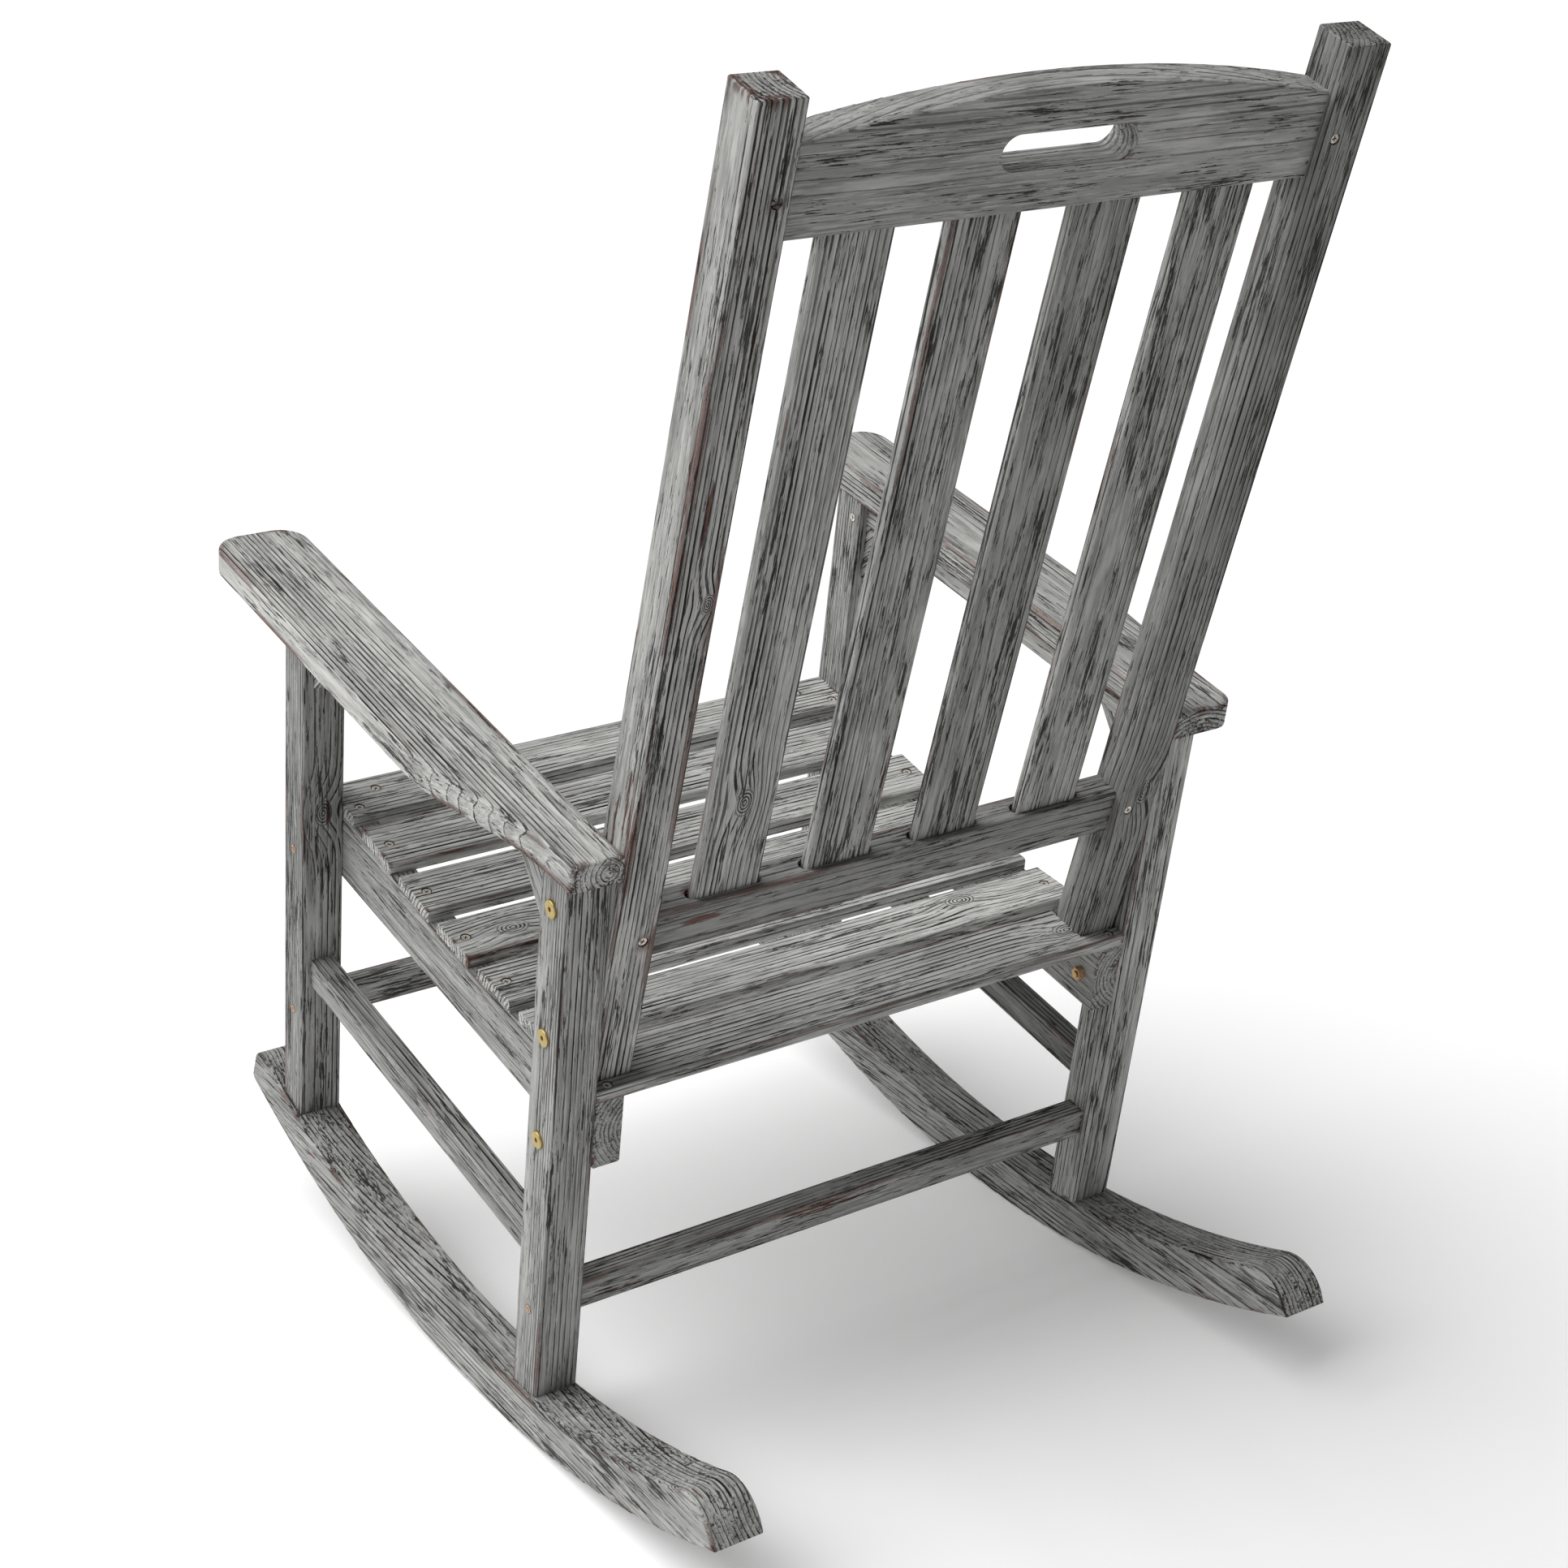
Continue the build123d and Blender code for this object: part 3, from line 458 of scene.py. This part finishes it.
# The lower back rail's low shade is painted shade, as its back lies in shadow, as well as the paint's
# tone.
timber("lower_back_rail", across, rearward, ring=0.0042, groove_contrast=0.8, weather=0.42, bare=0.08, shade=0.60)
timber("back_slat_1", raked, rearward, weather=0.46, shade=0.86)
timber("back_slat_2", raked, rearward, pith=(0.01, -0.03), weather=0.46, bare=0.05, shade=0.69)
timber("back_slat_3", raked, rearward, pith=(-0.02, -0.02), weather=0.46, bare=0.05, shade=0.89)
timber("back_slat_4", raked, rearward, pith=(-0.07, -0.01), ring=0.0046, wander=0.004, weather=0.38,
       knot=(-0.2, 0.0, 0.006))

# ---- arms -----------------------------------------------------------------------------------
# Flat boards on the legs, with a rail under each between the legs and a block at each corner.
# Their edges are worn through to the red-brown coat.

timber("arm_left", backward, upright, pith=(0.028, 0.0), ring=0.0042, wander=0.003, weather=0.41,
       bare=0.08, wear=0.15, shade=1.28, reach=0.010)
timber("arm_right", backward, upright, ring=0.0042, wander=0.006, weather=0.43,
       bare=0.07, wear=0.15, shade=1.02, reach=0.010)
for hand in ("left", "right"):
    timber(f"arm_rail_{hand}", backward, across)
    timber(f"front_bracket_{hand}", chair_way(45.0), across)
    timber(f"rear_bracket_{hand}", chair_way(-45.0), across)

# ---- bolts and nuts -------------------------------------------------------------------------
# Yellow zinc flat-headed bolts through the rear legs, three a side, with a browned nut inside each
# rail. The plating is uneven in colour and gloss.

zinc = bpy.data.materials.new("yellow_zinc")
zinc.use_nodes = True
zinc_sheet = Sheet(zinc.node_tree)
zinc_shader = zinc.node_tree.nodes["Principled BSDF"]
zinc_place = zinc_sheet.add("TexCoord", {}, {}, "Object")
zinc_clouds = zinc_sheet.noise(zinc_place, (160.0, 160.0, 160.0), 3.0)
zinc_yellow, zinc_tan = (0.47, 0.37, 0.12, 1), (0.55, 0.41, 0.20, 1)
zinc_colour = zinc_sheet.mix(zinc_sheet.step(zinc_clouds, 0.35, 0.65), zinc_yellow, zinc_tan)
zinc.node_tree.links.new(zinc_colour, zinc_shader.inputs["Base Color"])
zinc_shader.inputs["Metallic"].default_value = 1.0
zinc_rough = zinc_sheet.math("ADD", 0.28, zinc_sheet.math("MULTIPLY", zinc_clouds, 0.25))
zinc.node_tree.links.new(zinc_rough, zinc_shader.inputs["Roughness"])


def worn_plate(name, bright, dull):
    """Worn plating, painted black as painted shade where the mesh's own shade attribute is 1."""
    skin = bpy.data.materials.new(name)
    skin.use_nodes = True
    sheet = Sheet(skin.node_tree)
    shader = skin.node_tree.nodes["Principled BSDF"]
    clouds = sheet.noise(sheet.add("TexCoord", {}, {}, "Object"), (420.0, 420.0, 420.0), 3.0)
    colour = sheet.mix(sheet.step(clouds, 0.40, 0.60), bright, dull)
    # Painted shade: black where the attribute is 1, in the screw's cross and round its head.
    recess_shade = sheet.add("Attribute", {"attribute_name": "recess_shade"}, {}, "Fac")
    colour = sheet.mix(recess_shade, colour, (0.012, 0.011, 0.010, 1))
    skin.node_tree.links.new(colour, shader.inputs["Base Color"])
    skin.node_tree.links.new(sheet.math("MAXIMUM", clouds, recess_shade), shader.inputs["Roughness"])
    shader.inputs["Metallic"].default_value = 0.6
    return skin


steel = worn_plate("dull_steel", (0.85, 0.78, 0.70, 1), (0.58, 0.53, 0.47, 1))
copper = worn_plate("copper_plate", (0.66, 0.38, 0.22, 1), (0.42, 0.27, 0.16, 1))
for name, plate in (("leg_bolts", zinc), ("rail_nut", copper)):
    for hand in ("left", "right"):
        nodes[f"{name}_{hand}"].data.materials.clear()
        nodes[f"{name}_{hand}"].data.materials.append(plate)

# ---- screws ---------------------------------------------------------------------------------
# Countersunk wood screws with a cross recess, of plated steel that paint and weather have dulled.
# They hold the seat slats to the rails and the rails to the posts, and a few show in the legs.


def screws(name, places, head_r, length, skin, collar=0.0):
    """Screws of one size in one mesh. places are rows of (head's middle, way out, cross's turn).

    The surface is turned: its radius goes out across the head, in along the cone and down the shank
    to the point, against the depth below the head. The cross is pressed into the head wherever
    either of two bars at right angles covers the point. A collar may stand round the head, up the
    cone of the hole, collar high. The cross, the head's edge and the collar are painted black, as
    painted shade in the recess and in the hole round the head.
    """
    recess = 0.32 * head_r
    bar_half, bar_reach = 0.15, 0.62      # the cross, as shares of the head's radius
    face_shares = np.linspace(0.0, 1.0, 13)[1:]
    cone_shares = [1.02 + 0.86 * collar / head_r, 1.0, 0.46, 0.42]
    cone_depths = [-collar, 0.05 * head_r, 0.62 * head_r, length - head_r / 2]
    shares = np.concatenate([face_shares, cone_shares])
    depths = np.concatenate([0 * face_shares, cone_depths])
    angles = np.linspace(0, 2 * np.pi, 48, endpoint=False)
    ways = np.stack([np.cos(angles), np.sin(angles)])
    flat = shares[:, None, None] * ways.T[None]
    bar = np.clip((bar_half - np.abs(flat).min(axis=2)) / 0.05, 0, 1)
    bar = bar * np.clip((bar_reach - shares[:, None]) / 0.08, 0, 1)
    pressed = np.where(depths[:, None] == 0, bar, 0)
    sunk = depths[:, None] + recess * pressed
    # Painted shade: 1 in the cross and on the head's edge and collar, where the recess and the hole
    # fall dark.
    recess_shade = np.maximum(pressed, (shares[:, None] >= 0.99) + 0 * pressed).ravel()
    spun = np.concatenate([flat * head_r, -sunk[:, :, None]], axis=2).reshape(-1, 3)
    spun = np.concatenate([[[0, 0, -recess]], spun, [[0, 0, -length]]])
    frames = []
    for middle, out, turn in places:
        out = np.array(out) / np.linalg.norm(out)
        side = np.cross(out, (0.0, 0.6, 0.8) if abs(out[0]) > 0.5 else (1.0, 0, 0))
        side = side / np.linalg.norm(side)
        side = side * np.cos(turn) + np.cross(out, side) * np.sin(turn)
        frames.append(np.stack([side, np.cross(out, side), out]))
    points = spun[None] @ np.array(frames) + np.array([p[0] for p in places])[:, None]
    rows, columns = len(shares), len(angles)
    cell = np.arange((rows - 1) * columns)
    beside = cell // columns * columns + (cell + 1) % columns
    quads = np.stack([cell, cell + columns, beside + columns, beside], axis=1) + 1
    rim = np.arange(columns)
    beside = (rim + 1) % columns
    last = (rows - 1) * columns + 1
    cap = np.stack([np.zeros(columns, int), rim + 1, beside + 1], axis=1)
    tip = np.stack([np.full(columns, len(spun) - 1), beside + last, rim + last], axis=1)
    fans = np.concatenate([cap, tip])
    faces = []
    for start in np.arange(len(places)) * len(spun):
        faces += (quads + start).tolist() + (fans + start).tolist()
    mesh = bpy.data.meshes.new(name)
    mesh.from_pydata(points.reshape(-1, 3).tolist(), [], faces)
    # This attribute carries the painted shade of the recesses to the plate material.
    recess_shade_layer = mesh.attributes.new("recess_shade", "FLOAT", "POINT")
    recess_shade_layer.data.foreach_set("value", np.tile(np.concatenate([[1.0], recess_shade, [1.0]]), len(places)))
    mesh.materials.append(skin)
    piece = bpy.data.objects.new(name, mesh)
    scene.collection.objects.link(piece)
    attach(piece, "root")


# The slats between the first and the last lie on chords of the side rails' arc.
first_gap, slat_pitch = -0.1425, 0.0746      # the middles of the gaps between slats
rail_top, dish_depth, dish_half, dish_y = 0.3815, 0.011, 0.1865, 0.044
head_up = 0.0102                             # a screw's head above the rail
gap_y = first_gap + slat_pitch * np.arange(6)
dish_r = (dish_half**2 + dish_depth**2) / (2 * dish_depth)
gap_z = rail_top - dish_depth + dish_r - np.sqrt(dish_r**2 - (gap_y - dish_y) ** 2)
slope = np.arctan2(np.diff(gap_z), np.diff(gap_y))
slat_y = (gap_y[1:] + gap_y[:-1]) / 2 - head_up * np.sin(slope)
slat_z = (gap_z[1:] + gap_z[:-1]) / 2 + head_up * np.cos(slope)
screw_x, level_z = 0.253, rail_top + head_up
rows = [(screw_x, y, z, 90 + np.degrees(a)) for y, z, a in zip(slat_y, slat_z, slope)]
rows += [(screw_x, -0.1650, level_z, 90.0), (0.226, -0.1890, level_z, 90.0),
         (screw_x, 0.2880, level_z, 90.0)]
places = []
for x, y, z, angle in rows:
    for side in (-1, 1):
        places.append((chair_point(side * x, y, z), chair_way(angle), 6.0 * random.rand()))
screws("seat_screws", places, 0.0039, 0.0095, steel, collar=0.0006)

# Those in the backs of the posts are sunk to different depths, as rows of (x, up the post, depth).
back_tilt = np.radians(8.0)
post_foot_y, post_foot_z = 0.2795, 0.3815
rows = [(-0.238, 0.7785, 0.0012), (-0.238, 0.152, 0.0008),
        (0.238, 0.7785, 0.0046), (0.238, 0.152, 0.0010)]
places = []
for x, up, depth in rows:
    y = post_foot_y + up * np.sin(back_tilt) - depth * np.cos(back_tilt)
    z = post_foot_z + up * np.cos(back_tilt) + depth * np.sin(back_tilt)
    places.append((chair_point(x, y, z), rearward, 6.0 * random.rand()))
screws("post_screws", places, 0.0038, 0.0075, steel)

# Those in the legs' outer faces, as rows of (y, z), and one inside each arm rail.
leg_face_x, arm_rail_x = 0.3049, 0.2651
rows = [(-0.1905, 0.346), (-0.1905, 0.169), (0.275, 0.169)]
places = []
for y, z in rows:
    for side in (-1, 1):
        places.append((chair_point(side * leg_face_x, y, z), (side, 0, 0), 6.0 * random.rand()))
screws("leg_screws", places, 0.0040, 0.012, copper)
places = [(chair_point(side * arm_rail_x, -0.182, 0.582), (-side, 0, 0), 0.4) for side in (-1, 1)]
screws("arm_rail_screws", places, 0.0040, 0.012, steel)
